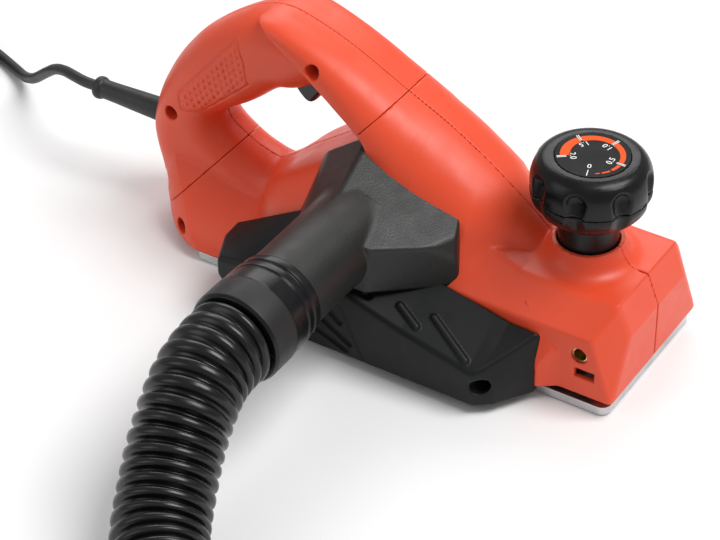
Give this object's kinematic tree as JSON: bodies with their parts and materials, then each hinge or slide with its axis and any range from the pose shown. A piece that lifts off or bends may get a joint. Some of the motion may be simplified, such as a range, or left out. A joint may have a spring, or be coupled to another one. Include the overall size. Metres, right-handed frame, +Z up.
{
  "type": "electric hand planer",
  "caption": "Electric hand planer with a closed rear handle, a round depth knob, a belt cover and a dust hose on a side chip port",
  "frame": {"origin": "on the rear sole, on the centreline, at the lip just behind the cutter mouth", "axes": "+X forward towards the depth knob, +Y to the tool's left, +Z up, square to the sole"},
  "size_m": [0.55, 0.6645, 0.1405],
  "materials": {
    "housing_orange": "satin moulded plastic",
    "cover_black": "fine matt moulded plastic",
    "adapter_grey": "grained moulded plastic",
    "cuff_rubber": "satin rubber",
    "hose_black": "glossy corrugated plastic",
    "knob_black": "satin plastic",
    "dial_black": "printed scale disc",
    "sole_aluminium": "machined",
    "machined_steel": "machined",
    "drum_aluminium": "machined",
    "carbide_steel": "ground",
    "bearing_steel": "polished",
    "screw_steel": "black oxide",
    "brass": "satin",
    "copper_windings": "lacquered",
    "laminated_steel": "stacked laminations",
    "inner_plastic": "moulded",
    "fan_plastic": "moulded",
    "carbon": "pressed carbon",
    "capacitor_blue": "moulded",
    "belt_rubber": "ribbed",
    "trigger_black": "satin",
    "cord_black": "satin",
    "plug_black": "satin"
  },
  "bodies": {
    "housing": {"body_shell_right": "housing_orange", "body_shell_left": "housing_orange", "handle_shell_right": "housing_orange", "handle_shell_left": "housing_orange", "belt_cover": "cover_black", "belt_cover_screws": "screw_steel", "base_frame": "sole_aluminium", "chip_duct": "inner_plastic", "dust_adapter": "adapter_grey", "hose_cuff": "cuff_rubber", "dust_hose": "hose_black", "hose_end_cuff": "cuff_rubber", "spindle_bush": "brass", "detent_spring": "bearing_steel", "drum_bearings": "bearing_steel", "drive_belt": "belt_rubber", "motor_bearings": "bearing_steel", "stator_core": "laminated_steel", "field_coils": "copper_windings", "brush_holders": "brass", "carbon_brushes": "carbon", "brush_caps": "inner_plastic", "switch_body": "inner_plastic", "trigger_pin": "machined_steel", "suppressor_capacitor": "capacitor_blue", "cord_clamp": "inner_plastic", "cord_clamp_screws": "screw_steel", "strain_relief": "cord_black", "power_cord": "cord_black", "cord_coil": "cord_black", "plug_body": "plug_black", "plug_pins": "brass", "handle_screws_set": "screw_steel", "housing_screws": "screw_steel", "frame_screws": "screw_steel", "fence_insert": "brass"},
    "cutter": {"cutter_drum": "drum_aluminium", "cutter_shaft": "machined_steel", "planer_blades": "carbide_steel", "blade_clamps": "drum_aluminium", "clamp_screws": "screw_steel", "driven_pulley": "machined_steel", "pulley_nut": "machined_steel"},
    "armature": {"armature_shaft": "machined_steel", "armature_core": "laminated_steel", "armature_windings": "copper_windings", "commutator": "copper_windings", "cooling_fan": "fan_plastic", "motor_pulley": "machined_steel"},
    "trigger": {"trigger": "trigger_black"},
    "lock_button": {"lock_off_button": "trigger_black"},
    "depth_knob": {"depth_knob_neck": "knob_black", "depth_knob_cap": "knob_black", "depth_dial": "dial_black", "depth_spindle": "machined_steel"},
    "front_shoe": {"front_shoe": "sole_aluminium", "shoe_guide_pins": "machined_steel"}
  },
  "joints": [
    {"name": "cutter_spin", "type": "hinge", "parent": "housing", "child": "cutter", "pos_m": [0.014, 0, 0.0235], "axis": [0, 1, 0], "continuous": true},
    {"name": "armature_spin", "type": "hinge", "parent": "housing", "child": "armature", "pos_m": [-0.084, 0, 0.036], "axis": [0, 1, 0], "continuous": true},
    {"name": "trigger_pull", "type": "hinge", "parent": "housing", "child": "trigger", "pos_m": [-0.085, 0, 0.112], "axis": [0, 1, 0], "range_deg": [0, 9], "stiffness_Nm_per_rad": 0.4, "springref_deg": -17.19},
    {"name": "lock_off_press", "type": "slide", "parent": "housing", "child": "lock_button", "axis": [0, -1, 0], "range_m": [0, 0.003], "stiffness_N_per_m": 400, "springref_m": -0.004},
    {"name": "depth_turn", "type": "hinge", "parent": "housing", "child": "depth_knob", "pos_m": [0.057, 0, 0.08], "axis": [0, 0, 1], "range_deg": [-216, 72]},
    {"name": "shoe_travel", "type": "slide", "parent": "housing", "child": "front_shoe", "axis": [0, 0, 1], "range_m": [-0.0005, 0.0015]}
  ],
  "couplings": [
    {"joint": "armature_spin", "follows": "cutter_spin", "ratio": 1.75},
    {"joint": "shoe_travel", "follows": "depth_turn", "m_per_rad": -0.00039788}
  ]
}
